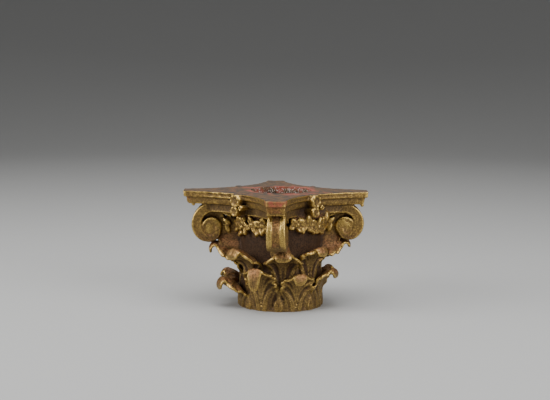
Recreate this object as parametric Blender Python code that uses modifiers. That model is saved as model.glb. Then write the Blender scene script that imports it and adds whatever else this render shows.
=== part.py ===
"""Column capital, cast in bronze as one piece.

A hollow bell stands on a round base ring. Two rows of eight acanthus leaves wrap it, and four scrolls carry
the corners of a thin top slab with hollowed sides. Egg-shaped lobes and paired roundels dress each face
under the slab. The slab's centre is the origin. The bell and its hole were cast a little off that centre,
towards the right corner.

Sizes are in millimetres and degrees, and MM turns them into metres.
"""

import math

import bmesh
import bpy
from mathutils import Vector

MM = 0.001
QUARTER = 90.0

# The whole
HEIGHT = 69.0
BASE_RADIUS = 25.0
CORE_SHIFT = 3.2
CORE_SHIFT_ANGLE = 45.0

# Bell and core
WALL = 3.0
LEAF_RELIEF = 1.2
LIP_RADIUS = 25.4
BELL_STRAIGHT = 27.6
BELL_STEPS = 5
HOLE_RADIUS = 18.0
TOP_PLATE = 3.8
CORE_SIDES = 40

# Slab: the abacus on top
SLAB_THICKNESS = 7.8
FASCIA = 3.6
SIDE_APOTHEM = 30.6
CORNER_REACH = 55.0
CORNER_HALF_WIDTH = 5.4
GROOVE_DEPTH = 1.6
GROOVE_WIDTH = 0.8
FASCIA_DRAFT = 0.2
BAND_INSET = 2.0
BAND_END_INSET = 2.2
BAND_SLOPE = 1.2
NECK_INSET = 3.9
NECK_DROP = 4.8
NECK_REACH = 44.0
NECK_HALF_WIDTH = 3.2
NECK_EMBED = 1.8
SIDE_STEPS = 8

# Scrolls
SCROLL_OVERLAP = 0.9
SCROLL_BAND = 5.8
SCROLL_END_BAND = 3.6
SCROLL_WIDTH = 9.8
SCROLL_FLARE = 1.5
SCROLL_CHANNEL = 1.1
SCROLL_FALL = 3.4
SCROLL_LEAD = 14.0
SCROLL_LEAD_DROP = 4.2
SCROLL_STEP = 27.0
SCROLL_TURN = 270.0
EYE_RADIUS = 6.0
EYE_INSET = 0.35
EYE_SIDES = 18
WEB_RADIUS = 9.3
WEB_LIFT = 1.5
WEB_THICKNESS = 3.6
WEB_SIDES = 14
ARM_THICKNESS = 6.6
ARM_HEIGHT = 21.2
ARM_FOOT_REACH = 0.3
# Each corner: (direction, radius at the top, overhang of the slab past the scroll, turn about its outer edge)
CORNERS = {
    "front": (-45.0, 15.0, 3.2, -7.0),
    "right": (45.0, 14.3, 2.6, 0.0),
    "back": (135.0, 15.0, 4.0, 0.0),
    "left": (225.0, 15.3, 5.2, 0.0),
}

# Leaves
LEAF_THICKNESS = 1.8
LEAF_FLARE = 1.1
LEAF_SAG = 1.5
LEAF_OUT = 0.6
LEAF_LEAN = 0.2
LEAF_TUCK = 0.4
LEAF_HOOK = [(0.30, 0.60), (0.60, 0.90), (0.86, 1.00)]
LEAF_TURN_DOWN = 0.38
LEAF_ROWS = 7
TIP_END = 7.0
TONGUE_END = 6.1
STEP_END = 4.2
SHOULDER_END = 3.6
EDGE_END = 2.2
UPPER_LEAF_INSET = 0.5
TONGUE_ANGLE = 7.0
SHOULDER_ANGLE = 14.0
STEP_ANGLE = 1.3
LOWER_EDGE_ANGLE = 21.6
UPPER_EDGE_ANGLE = 19.5
# Each leaf: (direction, curl past the base ring, height where it leaves the bell, crest, tip)
LOWER_LEAVES = [
    (-72.0, 10.0, 14.5, 26.4, 13.0),
    (-23.0, 8.8, 12.5, 23.6, 16.7),
    (23.0, 10.8, 12.0, 24.2, 18.0),
    (67.0, 10.0, 12.0, 22.4, 15.5),
    (112.0, 10.4, 12.5, 23.0, 15.0),
    (157.0, 9.6, 12.0, 22.0, 15.5),
    (203.0, 13.5, 10.0, 19.8, 14.0),
    (244.0, 14.4, 8.2, 18.6, 10.8),
]
UPPER_LEAVES = [
    (-42.0, 15.0, 27.0, 37.6, 31.6),
    (0.0, 10.4, 28.0, 38.4, 32.8),
    (46.5, 17.0, 28.0, 40.4, 35.0),
    (91.0, 12.0, 27.0, 38.0, 32.0),
    (136.0, 16.0, 26.5, 38.6, 32.6),
    (181.0, 12.5, 27.0, 37.6, 31.6),
    (226.0, 18.0, 22.0, 38.4, 31.2),
    (268.0, 14.6, 26.0, 37.4, 30.8),
]

# Face ornaments
FACES = [0.0, 90.0, 180.0, 270.0]
ROUNDEL_RADIUS = 3.3
ROUNDEL_RISE = 2.2
ROUNDEL_DISH = 0.9
ROUNDEL_SIDES = 8
ROUNDEL_SET_IN = 0.4
ROUNDEL_SHARES = [0.95, 1.0, 0.8, 0.5]
ROUNDEL_DROPS = [3.7, 10.0]
LOBE_SIZE = Vector((3.2, 2.7, 4.6))
LOBE_STEP = 9.8
LOBE_COUNT = 6
LOBE_TILT = 35.0
LOBE_PROUD = 3.6
LOBE_DROP = 11.4

# Cutting shapes
CUT_MARGIN = 3.0

GILT_BRONZE = (0.34, 0.25, 0.10, 1.0)
GILT_ROUGHNESS = 0.45


def clear_scene():
    for thing in list(bpy.data.objects):
        bpy.data.objects.remove(thing, do_unlink=True)


def new_collection(name, hidden):
    collection = bpy.data.collections.new(name)
    collection.hide_render = hidden
    bpy.context.scene.collection.children.link(collection)
    return collection


def add_object(name, mesh, collection):
    """Puts a mesh in the scene. What stands in a hidden collection is shown as wire."""
    thing = bpy.data.objects.new(name, mesh)
    collection.objects.link(thing)
    if collection.hide_render:
        thing.hide_render = True
        thing.display_type = "WIRE"
    return thing


def finish_mesh(bm, name, collection):
    """Turns a bmesh in millimetres into an object in metres."""
    bmesh.ops.scale(bm, vec=Vector((MM, MM, MM)), verts=bm.verts)
    mesh = bpy.data.meshes.new(name)
    bm.to_mesh(mesh)
    bm.free()
    return add_object(name, mesh, collection)


def direction(angle):
    """The level unit vector at an angle in degrees, turned from +X towards +Y."""
    return Vector((math.cos(math.radians(angle)), math.sin(math.radians(angle)), 0.0))


def core_centre():
    return direction(CORE_SHIFT_ANGLE) * CORE_SHIFT


def smooth_step(value):
    share = min(1.0, max(0.0, value))
    return share * share * (3.0 - 2.0 * share)


def curve_point(points, place):
    """A point on the smooth curve through the points, where whole numbers fall on the points themselves."""
    last = len(points) - 1
    index = max(0, min(int(place), last - 1))
    share = place - index
    before, start, end, after = (points[min(max(index + k, 0), last)] for k in (-1, 0, 1, 2))
    return 0.5 * (
        2.0 * start
        + (end - before) * share
        + (2.0 * before - 5.0 * start + 4.0 * end - after) * share**2
        + (3.0 * start - before - 3.0 * end + after) * share**3
    )


def loft(name, rings, collection):
    """A closed solid through rings of equally many points, with a flat cap on both ends."""
    bm = bmesh.new()
    rows = [[bm.verts.new(point) for point in ring] for ring in rings]
    count = len(rows[0])
    for lower, upper in zip(rows, rows[1:]):
        for i in range(count):
            bm.faces.new((lower[i], lower[(i + 1) % count], upper[(i + 1) % count], upper[i]))
    bm.faces.new(rows[0])
    bm.faces.new(rows[-1])
    bm.normal_update()
    bmesh.ops.triangulate(bm, faces=bm.faces)
    bmesh.ops.recalc_face_normals(bm, faces=bm.faces)
    return finish_mesh(bm, name, collection)


def bell_radius(height):
    """The bell's outer radius: straight behind the leaves, then flaring to the lip under the slab."""
    wrapped = BASE_RADIUS - LEAF_RELIEF
    share = (height - BELL_STRAIGHT) / (HEIGHT - SLAB_THICKNESS - BELL_STRAIGHT)
    return wrapped + (LIP_RADIUS - wrapped) * smooth_step(share)


def build_bell(collection):
    """The solid bell as a turned profile, from inside the slab down past the floor. The core is cut later."""
    top = HEIGHT - SLAB_THICKNESS / 2.0
    bottom = -2.0 * WALL
    flare = HEIGHT - SLAB_THICKNESS - BELL_STRAIGHT
    heights = [top] + [BELL_STRAIGHT + flare * k / BELL_STEPS for k in range(BELL_STEPS, -1, -1)] + [bottom]
    profile = [(0.0, top)] + [(bell_radius(z), z) for z in heights] + [(0.0, bottom)]
    points = [(radius * MM, 0.0, z * MM) for radius, z in profile]
    mesh = bpy.data.meshes.new("bell")
    mesh.from_pydata(points, [(i, i + 1) for i in range(len(points) - 1)], [])
    bell = add_object("bell", mesh, collection)
    bell.location = core_centre() * MM
    turn = bell.modifiers.new("turn", "SCREW")
    turn.steps = CORE_SIDES
    turn.render_steps = CORE_SIDES
    turn.use_merge_vertices = True
    turn.merge_threshold = 0.00001
    return bell


def slab_side(apothem, reach, half_width):
    """One hollowed side of the slab's outline, for the face towards +X, as points from corner to corner.

    The side is an arc through both corner ends and the middle of the face.
    """
    span = math.sqrt(2.0) * (reach + half_width)
    radius = (apothem * span - apothem**2 - reach**2 - half_width**2) / (2.0 * apothem - span)
    centre = apothem + radius
    across = (reach - half_width) / math.sqrt(2.0)
    half_angle = math.asin(across / radius)
    angles = [half_angle * (2.0 * k / SIDE_STEPS - 1.0) for k in range(SIDE_STEPS + 1)]
    return [(centre - radius * math.cos(a), radius * math.sin(a)) for a in angles]


def slab_ring(height, apothem, reach, half_width):
    side = slab_side(apothem, reach, half_width)
    ring = []
    for face in FACES:
        out, across = direction(face), direction(face + 90.0)
        ring += [out * x + across * y + Vector((0.0, 0.0, height)) for x, y in side]
    return ring


def build_slab(collection):
    """The slab: an upright fascia, a groove under it, then a band that slopes in to the underside."""
    groove_top = HEIGHT - FASCIA
    groove_bottom = groove_top - GROOVE_WIDTH
    underside = HEIGHT - SLAB_THICKNESS
    groove_in = GROOVE_DEPTH / 2.0
    stations = [
        # (height, inset of the sides, inset of the corners, how much narrower each half of a corner is)
        (HEIGHT, 0.0, 0.0, 0.0),
        (groove_top, FASCIA_DRAFT, FASCIA_DRAFT, FASCIA_DRAFT),
        (groove_top - GROOVE_WIDTH / 2.0, BAND_INSET + groove_in, BAND_END_INSET + groove_in, GROOVE_DEPTH),
        (groove_bottom, BAND_INSET, BAND_END_INSET, FASCIA_DRAFT),
        (underside, BAND_INSET + BAND_SLOPE, BAND_END_INSET + BAND_SLOPE, 2.0 * FASCIA_DRAFT),
    ]
    rings = [
        slab_ring(height, SIDE_APOTHEM - side, CORNER_REACH - end, CORNER_HALF_WIDTH - narrower)
        for height, side, end, narrower in stations
    ]
    loft("slab", rings, collection)


def build_neck(collection):
    """The plain band under the slab that runs from scroll to scroll behind the roundels."""
    underside = HEIGHT - SLAB_THICKNESS
    rings = [
        slab_ring(height, SIDE_APOTHEM - NECK_INSET, NECK_REACH, NECK_HALF_WIDTH)
        for height in (underside + NECK_EMBED, underside - NECK_DROP)
    ]
    loft("neck", rings, collection)


def scroll_path(top_radius):
    """The scroll's outer edge in its own plane, over and round: (outward, up, band thickness)."""
    path = []
    for share in (1.0, 0.66, 0.33):
        path.append((-SCROLL_LEAD * share, top_radius - SCROLL_LEAD_DROP * share**2, SCROLL_BAND))
    turns = round(SCROLL_TURN / SCROLL_STEP)
    for k in range(turns + 1):
        angle = k * SCROLL_STEP
        radius = top_radius - SCROLL_FALL * angle / QUARTER
        thinner = smooth_step((angle - QUARTER) / (SCROLL_TURN - QUARTER))
        band = SCROLL_BAND + (SCROLL_END_BAND - SCROLL_BAND) * thinner
        turned = math.radians(angle)
        path.append((radius * math.sin(turned), radius * math.cos(turned), band))
    return path


def scroll_section(path, k):
    """The strap's section at one station: flat sides, and a shallow channel along its outer edge."""
    outward, up, band = path[k]
    before, after = path[max(k - 1, 0)], path[min(k + 1, len(path) - 1)]
    along = Vector((after[0] - before[0], after[1] - before[1])).normalized()
    inward = Vector((along.y, -along.x))
    half = 0.5 * (SCROLL_WIDTH + SCROLL_FLARE * smooth_step(k / (0.6 * len(path))))
    channel = half / 3.0
    outline = [
        (-half, band),
        (-half, 0.0),
        (-channel, 0.0),
        (-channel, SCROLL_CHANNEL),
        (channel, SCROLL_CHANNEL),
        (channel, 0.0),
        (half, 0.0),
        (half, band),
    ]
    return [(outward + inward.x * depth, across, up + inward.y * depth) for across, depth in outline]


def scroll_placer(corner):
    """A function that puts (outward, across, up) about a scroll's centre into the part's own frame."""
    angle, top_radius, overhang, turn = CORNERS[corner]
    edge = CORNER_REACH - overhang
    centre_out = edge - (top_radius - SCROLL_FALL)
    centre_up = HEIGHT - SLAB_THICKNESS + SCROLL_OVERLAP - top_radius
    out, across = direction(angle), direction(angle + 90.0)
    turned_out, turned_across = direction(angle + turn), direction(angle + turn + 90.0)

    def place(outward, sideways, up):
        behind_edge = centre_out + outward - edge
        level = out * edge + turned_out * behind_edge + turned_across * sideways
        return level + Vector((0.0, 0.0, centre_up + up))

    return place


def disc_rings(place, radius, centre_up, half_widths, sides):
    """The rings of a disc that stands in a scroll's plane."""
    angles = [2.0 * math.pi * k / sides for k in range(sides)]
    return [
        [place(radius * math.sin(a), half, centre_up + radius * math.cos(a)) for a in angles]
        for half in half_widths
    ]


def arm_rings(corner, place, top_radius):
    """Two rings of the bracket that fills the space between the bell, the scroll and the corner leaf.

    It reaches the scroll's centre under the strap, and is short at its foot.
    """
    half = 0.5 * ARM_THICKNESS
    centre_out = CORNER_REACH - CORNERS[corner][2] - (top_radius - SCROLL_FALL)
    towards_corner = core_centre().dot(direction(CORNERS[corner][0]))
    wall = towards_corner + BASE_RADIUS - WALL / 2.0 - centre_out
    top = top_radius - 0.5 * SCROLL_BAND
    rings = []
    for up, reach in ((top - ARM_HEIGHT, ARM_FOOT_REACH * wall), (top, 0.0)):
        plan = ((wall, -half), (reach, -half), (reach, half), (wall, half))
        rings.append([place(outward, across, up) for outward, across in plan])
    return rings


def build_scroll(corner, collection):
    """One scroll: the strap, the eye that it winds onto, the web between them and the arm to the bell."""
    top_radius = CORNERS[corner][1]
    place = scroll_placer(corner)
    path = scroll_path(top_radius)
    rings = [[place(*point) for point in scroll_section(path, k)] for k in range(len(path))]
    loft(corner + "_strap", rings, collection)
    eye_half = 0.5 * (SCROLL_WIDTH + SCROLL_FLARE) - EYE_INSET
    loft(corner + "_eye", disc_rings(place, EYE_RADIUS, 0.0, (-eye_half, eye_half), EYE_SIDES), collection)
    web_half = 0.5 * WEB_THICKNESS
    web_rings = disc_rings(place, WEB_RADIUS, WEB_LIFT, (-web_half, web_half), WEB_SIDES)
    loft(corner + "_web", web_rings, collection)
    loft(corner + "_arm", arm_rings(corner, place, top_radius), collection)


def leaf_profile(leaf, front_radius):
    """The middle of a leaf's thickness as (radius, height): up the bell, out to its crest and down."""
    _, curl, leave, crest, tip = leaf
    half = LEAF_THICKNESS / 2.0
    root = front_radius - half
    curl_end = BASE_RADIUS + curl - half
    hook = curl_end - root
    lift = crest - half - leave
    return [
        Vector((root, -WALL)),
        Vector((root + LEAF_LEAN, leave / 2.0)),
        Vector((root + LEAF_OUT, leave)),
        *(Vector((root + out * hook, leave + up * lift)) for out, up in LEAF_HOOK),
        Vector((curl_end, leave + lift - LEAF_TURN_DOWN * (crest - tip))),
        Vector((curl_end - LEAF_TUCK, tip)),
    ]


def leaf_columns(edge_angle):
    """A leaf's section angles off its middle, each with how far along the profile the leaf reaches there.

    The middle is the tongue that curls over. Beside it the leaf steps down to its shoulders and its edges.
    """
    half = [
        (TONGUE_ANGLE, TONGUE_END),
        (TONGUE_ANGLE + STEP_ANGLE, STEP_END),
        (SHOULDER_ANGLE, SHOULDER_END),
        (edge_angle, EDGE_END),
    ]
    return [(-angle, end) for angle, end in reversed(half)] + [(0.0, TIP_END)] + half


def build_leaf(name, leaf, front_radius, edge_angle, collection):
    """One acanthus leaf, lofted across its width. Each ring runs up the leaf's face and down behind it."""
    profile = leaf_profile(leaf, front_radius)
    rings = []
    for angle, end in leaf_columns(edge_angle):
        out = direction(leaf[0] + angle)
        aside = min(1.0, abs(angle) / TONGUE_ANGLE)
        beyond = min(1.0, max(0.0, abs(angle) - TONGUE_ANGLE) / TONGUE_ANGLE)
        face, back = [], []
        for k in range(LEAF_ROWS + 1):
            share = k / LEAF_ROWS
            along = end * share
            spot = curve_point(profile, along)
            tangent = (curve_point(profile, along + 0.05) - curve_point(profile, along - 0.05)).normalized()
            radius = spot.x + LEAF_FLARE * beyond * share**4
            height = spot.y - LEAF_SAG * aside**2 * smooth_step((along - 2.0) / 2.0)
            for side, half in ((face, 0.5 * LEAF_THICKNESS), (back, -0.5 * LEAF_THICKNESS)):
                side.append(out * (radius + tangent.y * half) + Vector((0.0, 0.0, height - tangent.x * half)))
        rings.append([core_centre() + point for point in face + back[::-1]])
    loft(name, rings, collection)


def build_leaves(collection):
    for k, leaf in enumerate(LOWER_LEAVES):
        build_leaf(f"lower_leaf_{k}", leaf, BASE_RADIUS, LOWER_EDGE_ANGLE, collection)
    for k, leaf in enumerate(UPPER_LEAVES):
        build_leaf(f"upper_leaf_{k}", leaf, BASE_RADIUS - UPPER_LEAF_INSET, UPPER_EDGE_ANGLE, collection)


def build_roundels(collection):
    """Two dished roundels, one over the other, in the middle of each face."""
    for face in FACES:
        out, across = direction(face), direction(face + 90.0)
        for drop in ROUNDEL_DROPS:
            centre = out * (SIDE_APOTHEM - ROUNDEL_SET_IN) + Vector((0.0, 0.0, HEIGHT - drop))
            rises = [-NECK_INSET - WALL, 0.6 * ROUNDEL_RISE, ROUNDEL_RISE, ROUNDEL_RISE - ROUNDEL_DISH]
            rings = []
            for rise, share in zip(rises, ROUNDEL_SHARES):
                radius = ROUNDEL_RADIUS * share
                angles = [2.0 * math.pi * k / ROUNDEL_SIDES for k in range(ROUNDEL_SIDES)]
                rim = [across * math.cos(a) + Vector((0.0, 0.0, math.sin(a))) for a in angles]
                rings.append([centre + out * rise + spoke * radius for spoke in rim])
            loft(f"roundel_{face:.0f}_{drop:.0f}", rings, collection)


def build_lobes(collection):
    """A row of egg-shaped lobes across each face below the neck, tilted to hang outwards."""
    height = HEIGHT - SLAB_THICKNESS - LOBE_DROP
    radius = bell_radius(height) + LOBE_PROUD - LOBE_SIZE.x / 2.0
    for face in FACES:
        for k in range(LOBE_COUNT):
            angle = face + LOBE_STEP * (k - (LOBE_COUNT - 1) / 2.0)
            out, across = direction(angle), direction(angle + 90.0)
            tilt = math.radians(LOBE_TILT)
            up = -out * math.sin(tilt) + Vector((0.0, 0.0, math.cos(tilt)))
            thick = out * math.cos(tilt) + Vector((0.0, 0.0, math.sin(tilt)))
            centre = core_centre() + out * radius + Vector((0.0, 0.0, height))
            bm = bmesh.new()
            bmesh.ops.create_uvsphere(bm, u_segments=6, v_segments=4, radius=1.0)
            for vert in bm.verts:
                x, y, z = vert.co
                vert.co = centre + thick * x * LOBE_SIZE.x + across * y * LOBE_SIZE.y + up * z * LOBE_SIZE.z
            finish_mesh(bm, f"lobe_{face:.0f}_{k}", collection)


def build_cutters(collection):
    """What is taken away: the hole through the slab, the wider core under it and all below the floor."""
    core_top = HEIGHT - TOP_PLATE
    below = 4.0 * CUT_MARGIN
    cuts = [
        ("hole", HOLE_RADIUS, core_top - CUT_MARGIN, HEIGHT + CUT_MARGIN),
        ("core", BASE_RADIUS - WALL, -below, core_top),
    ]
    for name, radius, bottom, top in cuts:
        bm = bmesh.new()
        bmesh.ops.create_cone(
            bm, cap_ends=True, segments=CORE_SIDES, radius1=radius, radius2=radius, depth=top - bottom
        )
        middle = core_centre() + Vector((0.0, 0.0, (top + bottom) / 2.0))
        bmesh.ops.translate(bm, verts=bm.verts, vec=middle)
        finish_mesh(bm, name, collection)
    bm = bmesh.new()
    bmesh.ops.create_cube(bm, size=1.0)
    bmesh.ops.scale(bm, verts=bm.verts, vec=Vector((3.0 * CORNER_REACH, 3.0 * CORNER_REACH, below)))
    bmesh.ops.translate(bm, verts=bm.verts, vec=Vector((0.0, 0.0, -below / 2.0)))
    finish_mesh(bm, "floor", collection)


def gilt_bronze():
    material = bpy.data.materials.new("gilt_bronze")
    material.use_nodes = True
    shader = material.node_tree.nodes["Principled BSDF"]
    shader.inputs["Base Color"].default_value = GILT_BRONZE
    shader.inputs["Metallic"].default_value = 1.0
    shader.inputs["Roughness"].default_value = GILT_ROUGHNESS
    return material


def join_and_cut(body, castings, cutters):
    """Makes the cast piece one solid: each of the castings joined on, then each of the cutters taken away."""
    for operation, collection in (("UNION", castings), ("DIFFERENCE", cutters)):
        for thing in collection.objects:
            step = body.modifiers.new(thing.name, "BOOLEAN")
            step.operation = operation
            step.object = thing
            step.solver = "MANIFOLD"


def main():
    clear_scene()
    capital_collection = new_collection("capital", hidden=False)
    castings = new_collection("castings", hidden=True)
    cutters = new_collection("cutters", hidden=True)
    capital = build_bell(capital_collection)
    capital.name = "capital"
    build_slab(castings)
    build_neck(castings)
    for corner in CORNERS:
        build_scroll(corner, castings)
    build_leaves(castings)
    build_roundels(castings)
    build_lobes(castings)
    build_cutters(cutters)
    join_and_cut(capital, castings, cutters)
    capital.data.materials.append(gilt_bronze())


main()
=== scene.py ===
"""The looks of a small gilt bronze column capital of the Composite kind.

The casting is built from the same forms as its solid, each as fine mesh: the slab with hollowed sides, the
bell, four corner scrolls, two rows of acanthus leaves, and roundels and a festoon on each face. They are
fused into one skin, as metal poured in one go, then cored, thinned and weathered, with painted shade in its
hollows and painted highlights on its rims. Sizes in the classes are in millimetres and degrees. The slab's
centre is the origin, at the level of the base ring's underside.
"""

from __future__ import annotations

import logging
import math
import random
from collections.abc import Callable
from dataclasses import dataclass, field
from enum import Enum

import bpy
import numpy as np
from mathutils import Matrix, Vector, noise
from mathutils.bvhtree import BVHTree
from mathutils.kdtree import KDTree

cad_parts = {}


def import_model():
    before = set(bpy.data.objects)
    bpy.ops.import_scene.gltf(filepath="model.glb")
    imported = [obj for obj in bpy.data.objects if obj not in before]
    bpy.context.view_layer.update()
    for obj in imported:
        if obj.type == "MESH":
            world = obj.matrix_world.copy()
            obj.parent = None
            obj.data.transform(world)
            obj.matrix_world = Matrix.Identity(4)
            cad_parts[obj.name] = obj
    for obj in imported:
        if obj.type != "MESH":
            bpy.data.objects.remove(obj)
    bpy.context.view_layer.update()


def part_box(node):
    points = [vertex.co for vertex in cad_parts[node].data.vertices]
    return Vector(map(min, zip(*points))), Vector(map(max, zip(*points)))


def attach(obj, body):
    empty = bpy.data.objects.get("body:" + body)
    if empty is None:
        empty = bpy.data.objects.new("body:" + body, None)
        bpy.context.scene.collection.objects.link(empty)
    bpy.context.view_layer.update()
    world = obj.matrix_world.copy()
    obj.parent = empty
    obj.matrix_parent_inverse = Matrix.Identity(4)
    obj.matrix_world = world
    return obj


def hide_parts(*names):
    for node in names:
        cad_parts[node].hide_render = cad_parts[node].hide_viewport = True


MM = 0.001

# Sizes that several forms share
HEIGHT = 69.0
BASE_RADIUS = 25.0
WALL = 3.0
CORE_SHIFT = 3.2
CORE_ANGLE = 45.0
SLAB_THICKNESS = 7.8
SIDE_APOTHEM = 30.6
CORNER_REACH = 55.0
CORNER_HALF_WIDTH = 5.4
UNDERSIDE = HEIGHT - SLAB_THICKNESS
FACES = (0.0, 90.0, 180.0, 270.0)
UP = np.array([0.0, 0.0, 1.0])

# Every leaf's profile runs from place 0 at its root to this place at its tip
LEAF_END = 7.0

# Where the front corner's red and copper patches start, from the centre, and the depth of the fascia's patch
CORNER_MARK = 49.5
FASCIA_MARK = 3.8

Piece = bpy.types.Object
Socket = bpy.types.NodeSocket
Shape = Callable[[np.ndarray, np.ndarray], np.ndarray]
Size = tuple[float, float, float]

log = logging.getLogger("capital")


def linear(colour: str) -> tuple[float, float, float, float]:
    """Turns an sRGB hex colour into the linear colour that a shader socket takes.

    Args:
        colour: six hex digits, such as "C9A35C".

    Returns:
        Linear red, green, blue and an alpha of 1.
    """
    shares = [int(colour[i : i + 2], 16) / 255.0 for i in (0, 2, 4)]
    red, green, blue = (s / 12.92 if s <= 0.04045 else ((s + 0.055) / 1.055) ** 2.4 for s in shares)
    return red, green, blue, 1.0


def deselect() -> None:
    """Leaves nothing selected, so that the next operator acts only on what it makes."""
    bpy.ops.object.select_all(action="DESELECT")


def outwards(angle: float | np.ndarray) -> np.ndarray:
    """The level unit vector at an angle in degrees, turned from +X towards +Y."""
    turn = np.radians(angle)
    return np.stack([np.cos(turn), np.sin(turn), np.zeros_like(turn)], axis=-1)


def core_centre() -> np.ndarray:
    """Where the bell's axis stands, in millimetres."""
    return outwards(CORE_ANGLE) * CORE_SHIFT


def smooth_step(value: np.ndarray | float) -> np.ndarray:
    """Eases from 0 to 1 as the value goes from 0 to 1, and stays flat outside."""
    share = np.clip(value, 0.0, 1.0)
    return share * share * (3.0 - 2.0 * share)


def above(value: np.ndarray | float, level: float, width: float) -> np.ndarray:
    """Rises from 0 to 1 as the value goes from a level to a width above it."""
    return smooth_step((value - level) / width)


def below(value: np.ndarray | float, level: float, width: float) -> np.ndarray:
    """Rises from 0 to 1 as the value goes from a level to a width below it."""
    return smooth_step((level - value) / width)


def read_points(mesh: bpy.types.Mesh, normals: bool = False) -> np.ndarray:
    """Reads a mesh's points in metres, or the normals at them, one row each."""
    flat = np.empty(len(mesh.vertices) * 3, np.float32)
    if normals:
        mesh.vertex_normals.foreach_get("vector", flat)
    else:
        mesh.vertices.foreach_get("co", flat)
    return flat.reshape(-1, 3).astype(float)


def move_points(mesh: bpy.types.Mesh, points: np.ndarray) -> None:
    """Moves a mesh's points to places in metres."""
    mesh.vertices.foreach_set("co", points.astype(np.float32).ravel())
    mesh.update()


def curve(points: np.ndarray, place: np.ndarray) -> np.ndarray:
    """Follows the smooth curve through control points.

    Args:
        points: control points, one row each.
        place: how far along, where whole numbers fall on the points.

    Returns:
        One row for each place.
    """
    last = len(points) - 1
    index = np.clip(place.astype(int), 0, last - 1)
    share = (place - index)[:, None]
    before, start, end, after = (points[np.clip(index + k, 0, last)] for k in (-1, 0, 1, 2))
    return 0.5 * (
        2.0 * start
        + (end - before) * share
        + (2.0 * before - 5.0 * start + 4.0 * end - after) * share**2
        + (3.0 * start - before - 3.0 * end + after) * share**3
    )


def distance_to(points: np.ndarray, path: np.ndarray) -> np.ndarray:
    """How far each point in a plane is from the nearest of a path's points.

    Args:
        points: the points asked about, two columns.
        path: points close together along the path, two columns.

    Returns:
        One distance for each point.
    """
    near = np.full(len(points), np.inf)
    for spot in path:
        near = np.minimum(near, np.hypot(points[:, 0] - spot[0], points[:, 1] - spot[1]))
    return near


def shaped_grid(name: str, columns: int, rows: int, shape: Shape, closed: bool = True) -> Piece:
    """Adds a grid and moves each of its points to its place on a form.

    Args:
        name: the object's name.
        columns: faces across.
        rows: faces along.
        shape: gives points in millimetres for shares across and along, both from 0 to 1.
        closed: whether the grid's first and last columns meet, as round a bar; its open ends are then filled.

    Returns:
        The shaped object, with its place in its mesh.
    """
    deselect()
    bpy.ops.mesh.primitive_grid_add(x_subdivisions=columns, y_subdivisions=rows, size=1.0)
    made = bpy.context.object
    made.name = name
    grid = read_points(made.data)
    points = shape(np.clip(grid[:, 0] + 0.5, 0.0, 1.0), np.clip(grid[:, 1] + 0.5, 0.0, 1.0))
    move_points(made.data, points * MM)
    if closed:
        bpy.ops.object.mode_set(mode="EDIT")
        bpy.ops.mesh.select_all(action="SELECT")
        bpy.ops.mesh.remove_doubles(threshold=0.005 * MM)
        bpy.ops.mesh.fill_holes(sides=0)
        bpy.ops.mesh.normals_make_consistent(inside=False)
        bpy.ops.object.mode_set(mode="OBJECT")
    return made


def apply_modifier(piece: Piece, kind: str, **settings: object) -> None:
    """Adds a modifier with its settings and applies it.

    Args:
        piece: the object to change.
        kind: the modifier's type.
        settings: the modifier's own settings by name.
    """
    deselect()
    bpy.context.view_layer.objects.active = piece
    piece.select_set(True)
    step = piece.modifiers.new(kind.lower(), kind)
    for setting, value in settings.items():
        setattr(step, setting, value)
    bpy.ops.object.modifier_apply(modifier=step.name)


def join(pieces: list[Piece], name: str) -> Piece:
    """Joins objects into the first one and names it."""
    deselect()
    for piece in pieces:
        piece.select_set(True)
    bpy.context.view_layer.objects.active = pieces[0]
    bpy.ops.object.join()
    pieces[0].name = name
    return pieces[0]


def rounded(section: list[tuple[float, float]], count: int) -> np.ndarray:
    """Spreads points evenly round a closed outline.

    Args:
        section: the outline's corners.
        count: how many points to return; the last one meets the first.

    Returns:
        The points, two columns.
    """
    corners = np.array(section + section[:1])
    steps = np.hypot(*np.diff(corners, axis=0).T)
    along = np.concatenate([[0.0], np.cumsum(steps)])
    place = np.linspace(0.0, along[-1], count)
    return np.stack([np.interp(place, along, corners[:, k]) for k in (0, 1)], axis=1)


def lobe(angle: float, height: float, radius: float, size: Size, tilt: float, lean: float) -> Piece:
    """One cupped egg-shaped lobe standing off the bell: a petal, a bud or a sprig.

    Args:
        angle: its direction from the bell's axis.
        height: its middle's height.
        radius: its middle's distance from the bell's axis.
        size: half of its thickness, width and length.
        tilt: how far its foot is turned in, in degrees.
        lean: how far it leans to the side, in degrees.

    Returns:
        The lobe.
    """
    deselect()
    bpy.ops.mesh.primitive_uv_sphere_add(segments=20, ring_count=14, radius=1.0)
    made = bpy.context.object
    made.name = "lobe"
    out, aside = outwards(angle), outwards(angle + 90.0)
    turn, swing = math.radians(tilt), math.radians(lean)
    up = UP * math.cos(turn) - out * math.sin(turn)
    thick = out * math.cos(turn) + UP * math.sin(turn)
    spine = up * math.cos(swing) + aside * math.sin(swing)
    flank = aside * math.cos(swing) - up * math.sin(swing)
    ball = read_points(made.data)
    narrowing = 1.0 - 0.45 * above(ball[:, 2], 0.1, 0.9)
    cup = 0.4 * np.exp(-((ball[:, 1] / 0.4) ** 2)) * smooth_step(ball[:, 0]) * smooth_step(0.9 - ball[:, 2])
    middle = core_centre() + out * radius + UP * height
    points = middle + thick * (ball[:, :1] * size[0] - cup[:, None] * size[0])
    points = points + flank * (ball[:, 1] * narrowing * size[1])[:, None] + spine * ball[:, 2:] * size[2]
    move_points(made.data, points * MM)
    return made


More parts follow.
